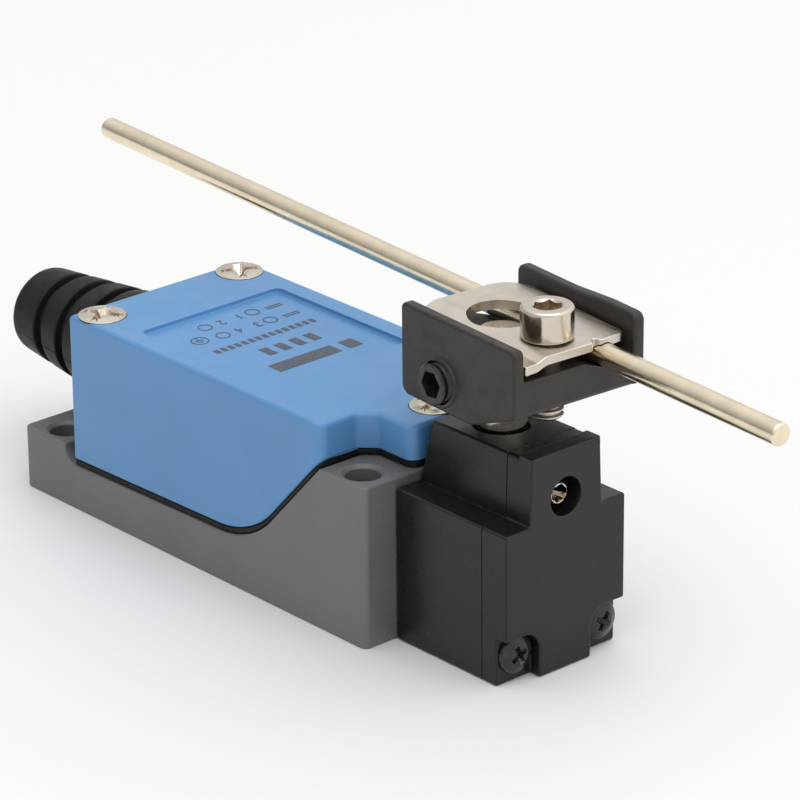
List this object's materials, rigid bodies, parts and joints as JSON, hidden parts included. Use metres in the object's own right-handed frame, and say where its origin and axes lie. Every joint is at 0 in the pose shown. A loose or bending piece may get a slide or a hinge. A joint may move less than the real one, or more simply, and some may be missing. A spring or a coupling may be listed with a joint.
{
  "type": "limit switch",
  "caption": "Compact industrial limit switch with a blue cover on a grey base, a black rotary head and a long round rod clamped in a swinging lever.",
  "frame": {"origin": "centre of the four mounting holes, on the mounting face", "axes": "+X from the cable entry towards the head, +Z from the mounting face out through the cover"},
  "size_m": [0.1276, 0.028, 0.0439],
  "materials": {
    "base_grey": "satin die casting",
    "cover_blue": "satin moulded plastic",
    "head_black": "satin moulded plastic",
    "lever_black": "satin black coating",
    "screw_black": "black oxide",
    "rubber_black": "matte rubber",
    "nickel": "warm nickel plating",
    "brass": "plain",
    "bronze": "sintered",
    "spring_steel": "bright",
    "switch_ivory": "moulded",
    "switch_smoke": "moulded"
  },
  "bodies": {
    "housing": {"base_housing": "base_grey", "cover_gasket": "rubber_black", "cover": "cover_blue", "cover_screw_rear_near": "nickel", "cover_screw_rear_far": "nickel", "cover_screw_front": "nickel", "cable_boot": "rubber_black", "head_block": "head_black", "head_cap": "head_black", "head_screw_near": "screw_black", "head_screw_far": "screw_black", "head_seal_ring": "rubber_black", "shaft_bushing_upper": "bronze", "shaft_bushing_lower": "bronze", "shaft_seal_ring": "rubber_black", "shaft_stop_screw": "nickel", "plunger_spring": "spring_steel", "switch_case": "switch_ivory", "switch_lid": "switch_smoke", "ground_washer": "brass", "ground_screw": "brass", "case_screw_near": "nickel", "case_screw_far": "nickel", "terminal_no_near": "brass", "terminal_washer_no_near": "nickel", "terminal_screw_no_near": "nickel", "terminal_no_far": "brass", "terminal_washer_no_far": "nickel", "terminal_screw_no_far": "nickel", "terminal_nc_near": "brass", "terminal_washer_nc_near": "nickel", "terminal_screw_nc_near": "nickel", "terminal_nc_far": "brass", "terminal_washer_nc_far": "nickel", "terminal_screw_nc_far": "nickel"},
    "shaft": {"rotary_shaft": "nickel", "shaft_cam": "spring_steel"},
    "lever": {"lever_arm": "lever_black", "clamp_plate": "nickel", "clamp_screw": "nickel", "lever_set_screw": "screw_black"},
    "rod": {"lever_rod": "nickel"},
    "plunger": {"head_plunger": "spring_steel"},
    "button": {"switch_button": "switch_smoke", "contact_bridge": "brass"}
  },
  "joints": [
    {"name": "lever_swing", "type": "hinge", "parent": "housing", "child": "shaft", "pos_m": [0.03973, 0, 0.02], "axis": [0, 0, 1], "range_deg": [-75, 75], "stiffness_Nm_per_rad": 0.05},
    {"name": "lever_set", "type": "hinge", "parent": "shaft", "child": "lever", "pos_m": [0.03973, 0, 0.034], "axis": [0, 0, 1], "continuous": true},
    {"name": "rod_slide", "type": "slide", "parent": "lever", "child": "rod", "axis": [0.9976, -0.0698, 0], "range_m": [-0.024, 0.072]},
    {"name": "plunger_slide", "type": "slide", "parent": "housing", "child": "plunger", "axis": [-1, 0, 0], "range_m": [0, 0.0011], "stiffness_N_per_m": 300, "springref_m": -0.002, "deforming": ["plunger_spring"]},
    {"name": "button_slide", "type": "slide", "parent": "housing", "child": "button", "axis": [-1, 0, 0], "range_m": [0, 0.0011]}
  ],
  "couplings": [
    {"joint": "button_slide", "follows": "plunger_slide", "ratio": 1}
  ]
}
